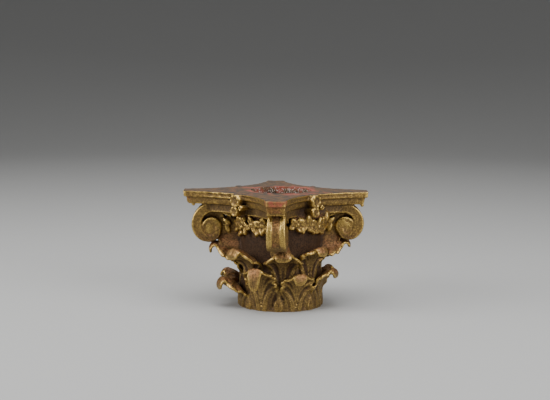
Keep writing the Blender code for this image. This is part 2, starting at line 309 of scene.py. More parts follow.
@dataclass
class Slab:
    """The abacus: a thin slab with hollowed sides and cut corners, grooved all round, on a plain neck."""

    fascia: float = 3.6
    groove_depth: float = 1.6
    groove_width: float = 0.8
    band_inset: float = 2.0
    band_slope: float = 1.2
    neck_inset: float = 3.9
    neck_drop: float = 4.8
    neck_reach: float = 44.0
    neck_half_width: float = 3.2
    side_points: int = 60
    end_points: int = 10
    notch_pitch: float = 2.4
    notch_depth: float = 1.3

    def ring(self, apothem: float, reach: float, half_width: float) -> np.ndarray:
        """The slab's outline at one level, from corner to corner, with the last point on the first.

        Args:
            apothem: from the centre to the middle of a hollowed side.
            reach: from the centre to a cut corner.
            half_width: half of the cut corner's width.

        Returns:
            Points round the outline, two columns.
        """
        span = math.sqrt(2.0) * (reach + half_width)
        radius = (apothem * span - apothem**2 - reach**2 - half_width**2) / (2.0 * apothem - span)
        half_angle = math.asin((reach - half_width) / math.sqrt(2.0) / radius)
        turns = np.linspace(-half_angle, half_angle, self.side_points)
        out, across = apothem + radius - radius * np.cos(turns), radius * np.sin(turns)
        parts = []
        for face in FACES:
            ahead, aside = outwards(face)[:2], outwards(face + 90.0)[:2]
            side = out[:, None] * ahead + across[:, None] * aside
            end = outwards(face + 45.0)[:2] * reach
            cut = outwards(face + 135.0)[:2] * half_width
            shares = np.linspace(-1.0, 1.0, self.end_points + 2)[1:-1, None]
            parts += [side, end + cut * shares]
        outline = np.concatenate(parts)
        return np.concatenate([outline, outline[:1]])

    def notches(self, outline: np.ndarray) -> np.ndarray:
        """How deep the tool marks are round the outline. The left front side has the clearest."""
        left_front = above(-outline[:, 1], 22.0, 6.0) * below(outline[:, 0], 6.0, 6.0)
        place = outline[:, 0] + 0.5 * np.sin(0.9 * outline[:, 0]) + outline[:, 1]
        marks = 0.5 + 0.5 * np.sin(2.0 * math.pi * place / self.notch_pitch)
        return self.notch_depth * marks**3 * (0.2 + 0.8 * left_front)

    def shape(self, stations: list[tuple[float, float, float, float, float]]) -> Shape:
        """A grid shape through outlines at several levels.

        Args:
            stations: (height, apothem, reach, half width, share of the notches) for each row.

        Returns:
            The shape, which closes to the centre at both ends.
        """
        rows = []
        for height, apothem, reach, half_width, marked in stations:
            outline = self.ring(apothem, reach, half_width)
            if marked:
                length = np.hypot(outline[:, 0], outline[:, 1])[:, None]
                outline = outline * (1.0 - marked * self.notches(outline)[:, None] / length)
            rows.append(np.column_stack([outline, np.full(len(outline), height)]))
        first, last = rows[0] * [0.0, 0.0, 1.0], rows[-1] * [0.0, 0.0, 1.0]
        stack = np.array([first, *rows, last])

        def place(across: np.ndarray, along: np.ndarray) -> np.ndarray:
            """Picks the stacked point for each share across and along."""
            column = np.rint(across * (stack.shape[1] - 1)).astype(int)
            return stack[np.rint(along * (stack.shape[0] - 1)).astype(int), column]

        return place

    def build(self) -> list[Piece]:
        """Builds the slab and the neck.

        Returns:
            The two objects.
        """
        edge = SIDE_APOTHEM, CORNER_REACH, CORNER_HALF_WIDTH
        band = edge[0] - self.band_inset, edge[1] - 1.1 * self.band_inset, edge[2] - 0.3
        groove = HEIGHT - self.fascia
        under, half_depth = groove - self.groove_width, 0.5 * self.groove_depth
        slab = [
            (HEIGHT, edge[0] - 0.5, edge[1] - 0.5, edge[2] - 0.3, 0.0),
            (HEIGHT - 0.35, *edge, 0.0),
            (HEIGHT - 0.9, *edge, 0.1),
            (HEIGHT - 1.2, edge[0] - 0.25, edge[1] - 0.1, edge[2], 1.0),
            (groove + 0.8, edge[0] - 0.3, edge[1] - 0.2, edge[2], 1.0),
            (groove + 0.5, edge[0] - 0.1, edge[1] - 0.2, edge[2], 0.1),
            (groove, edge[0] - 0.4, edge[1] - 0.5, edge[2] - 0.2, 0.0),
            (
                groove - 0.5 * self.groove_width,
                band[0] - half_depth,
                band[1] - half_depth,
                edge[2] - self.groove_depth,
                0.0,
            ),
            (under, *band, 0.0),
            (under - 1.2, *band, 0.0),
            (UNDERSIDE + 0.7, band[0] - 0.6, band[1] - 0.5, edge[2] - 0.4, 0.0),
            (UNDERSIDE, band[0] - self.band_slope, band[1] - 1.4, edge[2] - 0.8, 0.0),
        ]
        waist, foot = SIDE_APOTHEM - self.neck_inset, UNDERSIDE - self.neck_drop
        end = self.neck_reach, self.neck_half_width, 0.0
        neck = [
            (UNDERSIDE + 1.8, waist, *end),
            (UNDERSIDE - 0.8, waist - 0.6, *end),
            (foot + 1.0, waist - 0.6, *end),
            (foot, waist, *end),
        ]
        columns = 4 * (self.side_points + self.end_points)
        return [
            shaped_grid(name, columns, len(stations) + 1, self.shape(stations))
            for name, stations in (("slab", slab), ("neck", neck))
        ]


@dataclass
class Bell:
    """The solid bell that the leaves wrap. It is cored later."""

    lip_radius: float = 25.4
    leaf_relief: float = 1.2
    foot_height: float = 1.4
    foot_ease: float = 0.6
    foot_set_back: float = 0.4
    straight: float = 27.6
    bead_height: float = 55.4
    bead_proud: float = 1.3
    bead_width: float = 1.2
    below_floor: float = 6.0
    in_slab: float = 4.0
    sides: int = 120
    levels: int = 60

    def radius(self, height: np.ndarray) -> np.ndarray:
        """The radius at a height: a thin foot, straight behind the leaves, then a flare to a beaded lip."""
        wrapped = BASE_RADIUS - self.leaf_relief
        flare = above(height, self.straight, UNDERSIDE - self.straight)
        foot = below(height, self.foot_height + self.foot_ease, self.foot_ease)
        bead = np.exp(-(((height - self.bead_height) / self.bead_width) ** 2))
        plain = wrapped + (self.lip_radius - wrapped) * flare
        return plain + (self.leaf_relief - self.foot_set_back) * foot + self.bead_proud * bead

    def build(self) -> list[Piece]:
        """Turns the profile about the bell's axis.

        Returns:
            The bell alone, in a list.
        """
        bottom, top = -self.below_floor, HEIGHT - self.in_slab
        heights = np.concatenate([[bottom, bottom], np.linspace(bottom + 0.1, top, self.levels), [top]])
        radii = self.radius(heights)
        radii[[0, -1]] = 0.0

        def place(across: np.ndarray, along: np.ndarray) -> np.ndarray:
            """Puts a share round and a share up on the turned surface."""
            row = np.rint(along * (len(heights) - 1)).astype(int)
            return core_centre() + outwards(360.0 * across) * radii[row, None] + heights[row, None] * UP

        return [shaped_grid("bell", self.sides, len(heights) - 1, place)]


class Corner(Enum):
    """The four corners: (direction, top radius, overhang of the slab, turn about the scroll's outer edge)."""

    FRONT = (-45.0, 15.0, 3.2, -7.0)
    RIGHT = (45.0, 14.3, 2.6, 0.0)
    BACK = (135.0, 15.0, 4.0, 0.0)
    LEFT = (225.0, 15.3, 5.2, 0.0)


@dataclass
class Scroll:
    """One corner volute: a strap wound onto an eye, the web behind them, and the stem that holds the eye."""

    corner: Corner
    overlap: float = 0.9
    band: float = 5.8
    end_band: float = 3.6
    width: float = 9.8
    flare: float = 1.5
    channel: float = 1.1
    channel_end: float = 112.0
    fall: float = 3.4
    lead: float = 14.0
    lead_drop: float = 4.2
    turn: float = 270.0
    split: float = 0.16
    eye_radius: float = 6.0
    eye_inset: float = 0.35
    spiral_start: float = 250.0
    spiral_turns: float = 0.7
    spiral_depth: float = 0.42
    spiral_width: float = 0.34
    side_recess: float = 0.16
    stem_half_width: float = 3.6
    stem_top: float = 8.6
    stem_bottom: float = 32.0
    stem_foot: float = 1.3
    husk_width: float = 2.1
    husk_length: float = 7.2
    husk_aside: float = 3.2
    web_radius: float = 9.3
    web_thickness: float = 3.6
    bead_count: int = 6
    bead_pitch: float = 1.7

    def place(self, points: np.ndarray) -> np.ndarray:
        """Moves points given as (outward, across, up) about the scroll's centre into the part's own frame."""
        angle, top_radius, overhang, turn = self.corner.value
        edge = CORNER_REACH - overhang
        centre_out = edge - (top_radius - self.fall)
        centre_up = UNDERSIDE + self.overlap - top_radius
        behind = centre_out + points[:, 0] - edge
        ahead, aside = outwards(angle + turn), outwards(angle + turn + 90.0)
        level = outwards(angle) * edge + behind[:, None] * ahead + points[:, 1:2] * aside
        level[:, 2] = centre_up + points[:, 2]
        return level

    def path(self, along: np.ndarray) -> tuple[np.ndarray, np.ndarray]:
        """The strap's outer edge in its own plane.

        Args:
            along: from 0 where it leaves the neck to 1 at its end on the eye.

        Returns:
            The edge as (outward, up), and the strap's thickness there.
        """
        top_radius = self.corner.value[1]
        share = np.clip(1.0 - along / self.split, 0.0, 1.0)
        degrees = self.turn * np.clip((along - self.split) / (1.0 - self.split), 0.0, 1.0)
        radius = top_radius - self.fall * degrees / 90.0
        turn = np.radians(degrees)
        outward = radius * np.sin(turn) - self.lead * share
        up = radius * np.cos(turn) - self.lead_drop * share**2
        band = self.band + (self.end_band - self.band) * above(degrees, 90.0, 120.0)
        return np.column_stack([outward, up]), band

    def strap(self) -> Piece:
        """The strap: lips along both edges of its flat sides, and a shallow channel between two borders."""
        columns, rows = 96, 150

        def shape(across: np.ndarray, along: np.ndarray) -> np.ndarray:
            """Puts a share round the strap's section and a share along it in place."""
            points = np.zeros((len(across), 3))
            for station in np.unique(along):
                here = np.array([station - 0.004, station, station + 0.004]).clip(0.0, 1.0)
                edge, band = self.path(here)
                ahead = (edge[2] - edge[0]) / np.hypot(*(edge[2] - edge[0]))
                inward = np.array([ahead[1], -ahead[0]])
                half = 0.5 * (self.width + self.flare * float(smooth_step(station / 0.6)))
                third = half / 3.0
                thick = float(band[1])
                degrees = self.turn * (station - self.split) / (1.0 - self.split)
                channel = self.channel * float(below(degrees, self.channel_end + 8.0, 8.0))
                recess = half - self.side_recess
                # Corners of the section's right half as (sideways, depth), from the channel round to the back
                right = [
                    (third, channel),
                    (third + 0.45, 0.14 * channel),
                    (third + 0.8, 0.0),
                    (half - 0.5, 0.0),
                    (half, 0.55),
                    (half, 0.9),
                    (recess, 1.2),
                    (recess, thick - 1.1),
                    (half, thick - 0.8),
                    (half, thick - 0.3),
                    (half - 0.3, thick),
                ]
                section = rounded([(-x, y) for x, y in right[::-1]] + right, columns + 1)
                chosen = np.isclose(along, station)
                spot = section[np.rint(across[chosen] * columns).astype(int)]
                plane = edge[1] + inward * spot[:, 1:2]
                points[chosen] = np.column_stack([plane[:, 0], spot[:, 0], plane[:, 1]])
            return self.place(points)

        return shaped_grid("strap", columns, rows, shape)

    def disc(self, name: str, radius: float, half: float, centre_up: float, carved: bool) -> Piece:
        """A disc standing in the scroll's plane, such as the eye.

        Args:
            name: the object's name.
            radius: its radius.
            half: half of its thickness.
            centre_up: its centre's height over the scroll's centre.
            carved: whether a spiral is cut into both faces.

        Returns:
            The disc.
        """
        columns, rows = 90, 60

        def shape(across: np.ndarray, along: np.ndarray) -> np.ndarray:
            """Runs from one face's middle over the rim to the other face's middle."""
            side = np.where(along < 0.5, 1.0, -1.0)
            share = 1.0 - np.abs(2.0 * along - 1.0)
            ratio = np.minimum(1.0, share / 0.9)
            turn = 2.0 * math.pi * across
            depth = half - 0.8 * above(ratio, 0.9, 0.1) ** 2
            if carved:
                start = math.radians(self.spiral_start)
                lag = np.mod(start - turn, 2.0 * math.pi) / (2.0 * math.pi)
                for winding in (0.0, 1.0):
                    wound = lag + winding
                    line = 0.88 - 0.3 * wound / self.spiral_turns
                    cut = np.exp(-(((ratio - line) * radius / self.spiral_width) ** 2))
                    depth = depth - self.spiral_depth * cut * (wound < self.spiral_turns)
            depth = np.where(share > 0.9, depth * (1.0 - share) / 0.1, depth)
            ring = ratio * radius
            outward, up = ring * np.sin(turn), centre_up + ring * np.cos(turn)
            return self.place(np.column_stack([outward, side * depth, up]))

        return shaped_grid(name, columns, rows, shape)

    def stem(self) -> Piece:
        """The stem between the bell's wall and the eye, thick and deep at the bell."""
        angle, top_radius, overhang, _ = self.corner.value
        centre_out = CORNER_REACH - overhang - (top_radius - self.fall)
        wall = float(core_centre() @ outwards(angle)) + BASE_RADIUS - WALL / 2.0 - centre_out

        def shape(across: np.ndarray, along: np.ndarray) -> np.ndarray:
            """Puts a share round the stem and a share along it in place."""
            turn = 2.0 * math.pi * across
            half_width = self.stem_half_width - 1.0 * along
            bottom = top_radius - self.stem_bottom + 3.4 * along + 13.0 * above(along, 0.62, 0.38)
            top = top_radius - self.stem_top
            half_height, middle = 0.5 * (top - bottom), 0.5 * (top + bottom)
            outward = wall * (1.0 - along)
            flat = np.sign(np.cos(turn)) * np.abs(np.cos(turn)) ** 0.7
            spread = 1.0 + self.stem_foot * below(np.cos(turn), 0.1, 0.9)
            sideways, up = half_width * spread * np.sin(turn), middle + half_height * flat
            return self.place(np.column_stack([outward, sideways, up]))

        return shaped_grid("stem", 40, 20, shape)

    def husks(self) -> list[Piece]:
        """The small pointed leaves that spring from the eye's inner side, two on each flank."""
        made = []
        for side in (-1.0, 1.0):
            for lift, reach, tilt in ((3.4, -8.9, 38.0), (-0.4, -9.2, 64.0)):
                turn = math.radians(tilt)
                spine = np.array([math.cos(turn), 0.0, math.sin(turn)])
                normal = np.array([-spine[2], 0.0, spine[0]])
                flank = np.array([0.0, side, 0.0])
                middle = np.array([reach, side * self.husk_aside, lift])

                def shape(across: np.ndarray, along: np.ndarray) -> np.ndarray:
                    """A pointed bud with a crease along it."""
                    around = 2.0 * math.pi * across
                    swell = np.sin(math.pi * along) ** 0.8 * (1.0 - 0.35 * along)
                    off_crease = np.mod(around, 2.0 * math.pi) - math.pi / 2.0
                    wide = self.husk_width * swell * (1.0 - 0.22 * np.exp(-((off_crease / 0.3) ** 2)))
                    spot = middle + (along[:, None] - 0.5) * self.husk_length * spine
                    spot = spot + (wide * np.cos(around))[:, None] * normal
                    return self.place(spot + (0.8 * wide * np.sin(around))[:, None] * flank)

                made.append(shaped_grid("husk", 24, 16, shape))
        return made

    def beads(self) -> list[Piece]:
        """The row of beads between the slab's cut corner and the strap.

        Returns:
            The beads.
        """
        angle, _, overhang, _ = self.corner.value
        edge = CORNER_REACH - overhang - 0.9
        made = []
        for k in range(self.bead_count):
            aside = (k - (self.bead_count - 1) / 2.0) * self.bead_pitch
            place = outwards(angle) * edge + outwards(angle + 90.0) * aside
            place[2] = UNDERSIDE - 0.35
            radius = 0.62 * self.bead_pitch * MM
            deselect()
            bpy.ops.mesh.primitive_ico_sphere_add(subdivisions=3, radius=radius, location=Vector(place * MM))
            made.append(bpy.context.object)
        return made

    def build(self) -> list[Piece]:
        """Builds the scroll's forms.

        Returns:
            The strap, eye, web, stem, husks and beads.
        """
        eye_half = 0.5 * (self.width + self.flare) - self.eye_inset
        return [
            self.strap(),
            self.disc("eye", self.eye_radius, eye_half, 0.0, True),
            self.disc("web", self.web_radius, 0.5 * self.web_thickness, 1.5, False),
            self.stem(),
            *self.husks(),
            *self.beads(),
        ]


class LeafRow(Enum):
    """The two rows: (radius of the leaves' faces, half widths in degrees by place along the leaf)."""

    LOWER = (
        BASE_RADIUS,
        (
            (0.0, 12.5), (0.9, 15.5), (1.6, 20.5), (2.1, 22.6), (2.42, 22.2), (2.58, 18.4), (2.74, 21.4),
            (3.15, 21.8), (3.5, 20.2), (3.66, 16.8), (3.8, 18.6), (4.1, 17.4), (4.4, 13.6), (4.7, 9.0),
            (5.2, 7.6), (5.7, 7.2), (6.2, 6.3), (6.6, 4.9), (6.85, 3.2), (LEAF_END, 1.0),
        ),
    )  # fmt: skip
    UPPER = (
        BASE_RADIUS - 0.5,
        (
            (0.0, 14.0), (1.6, 17.0), (2.2, 22.0), (2.66, 22.0), (2.8, 19.0), (2.98, 22.4), (3.42, 22.0),
            (3.66, 20.0), (3.8, 16.4), (3.96, 18.4), (4.24, 16.6), (4.46, 13.0), (4.72, 9.0), (5.2, 7.5),
            (5.7, 7.1), (6.2, 6.2), (6.6, 4.8), (6.85, 3.1), (LEAF_END, 1.0),
        ),
    )  # fmt: skip


@dataclass
class Leaf:
    """One acanthus leaf. It lies on the bell, leaves it, curls over a crest and hangs down in a tongue."""

    row: LeafRow
    direction: float
    curl: float
    leave: float
    crest: float
    tip: float
    side_sag: float = 0.0
    thickness: float = 1.35
    solid_thickness: float = 1.8
    sag: float = 0.6
    tongue: float = 7.0
    rim_flare: float = 2.4
    rim_width: float = 2.2
    vein_height: float = 0.95
    vein_width: float = 0.42
    ruffle: float = 0.32
    ruffle_pitch: float = 3.9
    veins: tuple[tuple[float, float, float, float], ...] = (
        (0.0, 0.0, 0.0, 6.5),
        (3.2, 0.3, 20.5, 2.25),
        (1.6, 1.0, 18.6, 3.05),
        (0.8, 2.0, 13.6, 3.98),
        (6.4, 0.3, 14.8, 1.7),
        (2.6, 1.6, 11.0, 3.3),
    )

    def profile(self) -> np.ndarray:
        """The middle of the leaf's thickness as (radius, height): up the bell, out to its crest and down."""
        half = self.solid_thickness / 2.0
        root = self.row.value[0] - half
        curl_end = BASE_RADIUS + self.curl - half
        hook = curl_end - root
        lift = self.crest - half - self.leave
        return np.array([
            (root, -WALL),
            (root + 0.2, self.leave / 2.0),
            (root + 0.6, self.leave),
            (root + 0.30 * hook, self.leave + 0.60 * lift),
            (root + 0.60 * hook, self.leave + 0.90 * lift),
            (root + 0.86 * hook, self.leave + lift),
            (curl_end, self.leave + lift - 0.38 * (self.crest - self.tip)),
            (curl_end - 0.4, self.tip + 0.2),
        ])

    def half_width(self, place: np.ndarray) -> np.ndarray:
        """The leaf's half width in degrees at places along its profile."""
        widths = np.array(self.row.value[1])
        return np.interp(place, widths[:, 0], widths[:, 1])

    def length_at(self, place: np.ndarray) -> np.ndarray:
        """Millimetres along the profile at places along it."""
        stations = np.linspace(0.0, LEAF_END, 500)
        steps = np.hypot(*np.diff(curve(self.profile(), stations), axis=0).T)
        return np.interp(place, stations, np.concatenate([[0.0], np.cumsum(steps)]))

    def relief(self, angle: np.ndarray, along: np.ndarray) -> np.ndarray:
        """How far the face stands off the leaf's plain form: veins, hollows between them and ruffled rims.

        Args:
            angle: degrees off the leaf's middle.
            along: place along the profile.

        Returns:
            The lift in millimetres.
        """
        to_mm = math.radians(1.0) * BASE_RADIUS
        length = self.length_at(along)
        stations = np.linspace(0.0, LEAF_END, 400)
        flat = np.column_stack([np.abs(angle) * to_mm, length])
        edge = np.column_stack([self.half_width(stations) * to_mm, self.length_at(stations)])
        off_rim = distance_to(flat, edge[stations > 0.9])
        free = above(along, 1.7, 0.6) * below(along, 4.9, 0.5)
        rim = np.exp(-((off_rim / self.rim_width) ** 1.3))
        lift = self.rim_flare * rim * (0.22 + 0.78 * free) * (0.3 + 0.7 * below(along, 5.4, 0.6))
        wave = np.sin(2.0 * math.pi * length / self.ruffle_pitch + self.direction)
        lift = lift + self.ruffle * wave * rim * free
        ridge = np.zeros(len(angle))
        for bend, place in self.vein_paths():
            line = np.column_stack([bend * to_mm, self.length_at(place)])
            ridge = np.maximum(ridge, np.exp(-((distance_to(flat, line) / self.vein_width) ** 2)))
        return lift + (self.vein_height * ridge - 0.5) * (0.45 + 0.55 * below(along, 5.4, 1.2))

    def vein_paths(self) -> list[tuple[np.ndarray, np.ndarray]]:
        """Each vein's path as (degrees off the middle, place along the profile)."""
        shares = np.linspace(0.0, 1.0, 44)
        return [
            (start + (end - start) * shares**1.9, begin + (finish - begin) * shares)
            for start, begin, end, finish in self.veins
        ]

    def surface(self, angle: np.ndarray, along: np.ndarray) -> np.ndarray:
        """Points on the leaf.

        Args:
            angle: degrees off the leaf's middle.
            along: place along the profile.

        Returns:
            The points in millimetres.
        """
        profile = self.profile()
        spot = curve(profile, along)
        after, before = np.minimum(along + 0.04, LEAF_END), np.maximum(along - 0.04, 0.0)
        ahead = curve(profile, after) - curve(profile, before)
        ahead /= np.hypot(ahead[:, 0], ahead[:, 1])[:, None]
        lift = self.relief(angle, along)
        aside = np.minimum(1.0, np.abs(angle) / self.tongue)
        droop = self.sag * aside**2 + self.side_sag * np.clip((np.abs(angle) - 3.0) / 12.0, 0.0, 1.3) ** 1.3
        height = spot[:, 1] - droop * above(along, 2.0, 2.0) - ahead[:, 0] * lift
        radius = spot[:, 0] + ahead[:, 1] * lift
        lean = 2.2 * math.sin(self.direction * 1.7) * above(along, 4.0, 3.0)
        out = outwards(self.direction + angle + lean)
        return core_centre() + out * radius[:, None] + height[:, None] * UP

    def rim(self) -> np.ndarray:
        """Points along the leaf's free rim."""
        along = np.linspace(1.8, LEAF_END, 130)
        half = self.half_width(along)
        end = np.linspace(-half[-1], half[-1], 7)
        tip = self.surface(end, np.full(len(end), LEAF_END))
        sides = [self.surface(-half, along), self.surface(half, along), tip]
        return np.concatenate(sides)

    def vein_points(self) -> np.ndarray:
        """Points along the leaf's raised veins."""
        return np.concatenate([
            self.surface(side * bend, place) for bend, place in self.vein_paths() for side in (-1.0, 1.0)
        ])

    def build(self) -> list[Piece]:
        """Shapes a grid to the leaf and gives it its thickness.

        Returns:
            The leaf alone, in a list.
        """

        def shape(across: np.ndarray, share: np.ndarray) -> np.ndarray:
            """Puts a share across and a share along on the leaf."""
            along = LEAF_END * share
            return self.surface((2.0 * across - 1.0) * self.half_width(along), along)

        leaf = shaped_grid("leaf", 60, 104, shape, closed=False)
        apply_modifier(leaf, "SOLIDIFY", thickness=self.thickness * MM, offset=0.0)
        return [leaf]


@dataclass
class LeafWreath:
    """All sixteen leaves, no two quite alike. Those that reach far droop at the sides.

    Each is (direction, curl past the base ring, height where it leaves the bell, crest, tip).
    """

    corner_droop: float = 2.6
    sprig_size: Size = (1.7, 2.9, 6.4)
    lower: tuple[tuple[float, float, float, float, float], ...] = (
        (-72.0, 10.0, 14.5, 26.4, 13.0),
        (-23.0, 8.8, 12.5, 23.6, 16.7),
        (23.0, 10.8, 12.0, 24.2, 18.0),
        (67.0, 10.0, 12.0, 22.4, 15.5),
        (112.0, 10.4, 12.5, 23.0, 15.0),
        (157.0, 9.6, 12.0, 22.0, 15.5),
        (203.0, 13.5, 10.0, 19.8, 14.0),
        (244.0, 14.4, 8.2, 18.6, 10.8),
    )
    upper: tuple[tuple[float, float, float, float, float], ...] = (
        (-42.0, 15.0, 27.0, 37.6, 31.6),
        (0.0, 10.4, 28.0, 38.4, 32.8),
        (46.5, 17.0, 28.0, 40.4, 35.0),
        (91.0, 12.0, 27.0, 38.0, 32.0),
        (136.0, 16.0, 26.5, 38.6, 32.6),
        (181.0, 12.5, 27.0, 37.6, 31.6),
        (226.0, 18.0, 22.0, 38.4, 31.2),
        (268.0, 14.6, 26.0, 37.4, 30.8),
    )

    def leaves(self) -> list[Leaf]:
        """Every leaf of both rows."""
        made = []
        for row, rows in ((LeafRow.LOWER, self.lower), (LeafRow.UPPER, self.upper)):
            for sizes in rows:
                reaching = float(above(sizes[1], 12.0, 3.0))
                made.append(Leaf(row, *sizes, side_sag=self.corner_droop * reaching))
        return made

    def sprigs(self) -> list[Piece]:
        """The small leaves at the foot, one between each two of the lower row."""
        made = []
        ways = [sizes[0] for sizes in self.lower]
        for here, after in zip(ways, ways[1:] + [ways[0] + 360.0]):
            between = (here + after) / 2.0
            made.append(lobe(between, 3.0, BASE_RADIUS - 0.7, self.sprig_size, 0.0, 3.0 * math.sin(between)))
        return made

    def build(self) -> list[Piece]:
        """Builds both rows and the sprigs between the lower leaves.

        Returns:
            The leaves and sprigs.
        """
        return [piece for leaf in self.leaves() for piece in leaf.build()] + self.sprigs()


@dataclass
class FaceOrnament:
    """What dresses one face under the slab: roundels over one another, and a festoon of flowers and buds."""

    face: float
    roundel_radius: float = 3.5
    roundel_rise: float = 4.2
    drops: tuple[float, float] = (3.9, 10.2)
    flower_places: tuple[float, ...] = (-25.0, -9.0, 7.5, 24.0)
    flower_radius: float = 4.6
    flower_drop: float = 10.6
    flower_proud: float = 3.2
    petal_size: Size = (2.4, 2.2, 3.1)
    bud_size: Size = (2.6, 1.9, 3.2)
    heart_size: Size = (2.9, 1.9, 1.9)

    def roundel(self, drop: float, radius: float, petals: int, shift: float) -> Piece:
        """A ring of small petals round a hollow.

        Args:
            drop: its centre's depth under the slab's top.
            radius: its radius.
            petals: how many petals its rim has.
            shift: how far it stands to the side.

        Returns:
            The roundel.
        """
        out, aside = outwards(self.face), outwards(self.face + 90.0)
        middle = out * (SIDE_APOTHEM - 0.6) + aside * shift + UP * (HEIGHT - drop)
        section = np.array([
            (0.0, 0.84), (0.36, 0.82), (0.48, 0.86), (0.66, 1.0), (0.88, 0.94), (1.0, 0.66), (0.94, 0.0),
            (0.85, -1.6), (0.0, -1.6),
        ])  # fmt: skip

        def shape(across: np.ndarray, along: np.ndarray) -> np.ndarray:
            """Runs from the hollow's middle over the petals to the back."""
            around = 2.0 * math.pi * across
            spot = curve(section, along * (len(section) - 1))
            lobed = 1.0 + 0.07 * np.abs(np.sin(petals * around / 2.0 + drop)) * smooth_step(spot[:, 0] / 0.6)
            ring = radius * spot[:, 0] * lobed
            rise = self.roundel_rise * spot[:, 1]
            rise = rise + 0.22 * np.sin(petals * around + drop) * above(spot[:, 0], 0.4, 0.3) * (rise > 0.0)
            turned = np.cos(around)[:, None] * aside + np.sin(around)[:, None] * UP
            return middle + out * rise[:, None] + turned * ring[:, None]

        return shaped_grid("roundel", 60, 40, shape)

    def festoon(self) -> list[Piece]:
        """Open flowers side by side under the slab, with buds that hang between them.

        Returns:
            The petals, the flowers' hearts and the buds.
        """
        chance = random.Random(int(self.face) + 7)
        across = math.degrees(1.0 / BASE_RADIUS)
        made = []

        def stand(angle: float, drop: float, size: tuple[float, ...], tilt: float, lean: float) -> None:
            """Adds a lobe so far under the slab, standing proud of the bell."""
            height = UNDERSIDE - drop
            radius = float(Bell().radius(np.array(height))) + self.flower_proud - size[0] / 2.0
            made.append(lobe(angle, height, radius, size, tilt, lean))

        for place in self.flower_places:
            middle = self.face + place + chance.uniform(-2.0, 2.0)
            drop = self.flower_drop + chance.uniform(-1.3, 1.3)
            growth = chance.uniform(0.92, 1.14)
            petals = chance.choice((4, 5, 5))
            first = chance.uniform(0.0, 72.0)
            stand(middle, drop, self.heart_size, 0.0, 0.0)
            for k in range(petals):
                lean = first + 360.0 * k / petals + chance.uniform(-14.0, 14.0)
                reach = 0.6 * growth * self.flower_radius
                spot = middle + across * reach * math.sin(math.radians(lean))
                fall = drop - reach * math.cos(math.radians(lean))
                size = tuple(growth * chance.uniform(0.75, 1.15) * side for side in self.petal_size)
                stand(spot, fall, size, chance.uniform(-30.0, 10.0) * math.cos(math.radians(lean)), lean)
            size = tuple(chance.uniform(0.75, 1.05) * side for side in self.bud_size)
            spot, hanging = middle + chance.uniform(5.0, 10.0), drop + 3.6 + chance.uniform(-0.8, 1.2)
            stand(spot, hanging, size, 20.0, 180.0 + chance.uniform(-40.0, 40.0))
        return made

    def build(self) -> list[Piece]:
        """Builds the face's ornament.

        Returns:
            The roundels and the festoon.
        """
        made = [
            self.roundel(self.drops[0], self.roundel_radius + 0.4, 7, 0.0),
            self.roundel(self.drops[1], self.roundel_radius - 0.5, 5, -0.6),
            self.roundel(self.drops[1] - 2.4, 0.42 * self.roundel_radius, 4, 4.8),
        ]
        return made + self.festoon()


@dataclass
class Core:
    """What is taken away from the cast form: the slab's hole, the wider core and all below the floor."""

    hole_radius: float = 18.0
    top_plate: float = 3.8
    sides: int = 128
    below_floor: float = 12.0
    block: Size = (300.0, 300.0, 20.0)

    def drum(self, radius: float, bottom: float, top: float) -> Piece:
        """A cutting cylinder about the bell's axis between two levels."""
        deselect()
        middle = core_centre() + UP * ((bottom + top) / 2.0)
        bpy.ops.mesh.primitive_cylinder_add(
            vertices=self.sides, radius=radius * MM, depth=(top - bottom) * MM, location=Vector(middle * MM)
        )
        return bpy.context.object

    def floor(self) -> Piece:
        """A cutting block whose top is the level that the capital stands on."""
        deselect()
        bpy.ops.mesh.primitive_cube_add(size=1.0, location=(0.0, 0.0, -0.5 * self.block[2] * MM))
        made = bpy.context.object
        made.scale = [side * MM for side in self.block]
        return made

    def cut(self, casting: Piece) -> None:
        """Takes the hole, the core and what is below the floor away from the casting."""
        top = HEIGHT - self.top_plate
        cutters = [
            self.drum(self.hole_radius, top - WALL, HEIGHT + WALL),
            self.drum(BASE_RADIUS - WALL, -self.below_floor, top),
            self.floor(),
        ]
        for cutter in cutters:
            apply_modifier(casting, "BOOLEAN", operation="DIFFERENCE", object=cutter, solver="MANIFOLD")
            bpy.data.objects.remove(cutter)


def add_node(
    tree: bpy.types.NodeTree, kind: str, inputs: dict | None = None, **settings: object
) -> bpy.types.Node:
    """Adds a node with its settings and links.

    Args:
        tree: the material's node tree.
        kind: the node's type.
        inputs: for each input by name or place, a value or the socket to link it to.
        settings: the node's own settings by name.

    Returns:
        The node.
    """
    made = tree.nodes.new(kind)
    for setting, value in settings.items():
        setattr(made, setting, value)
    for key, value in (inputs or {}).items():
        if isinstance(value, Socket):
            tree.links.new(value, made.inputs[key])
        else:
            made.inputs[key].default_value = value
    return made


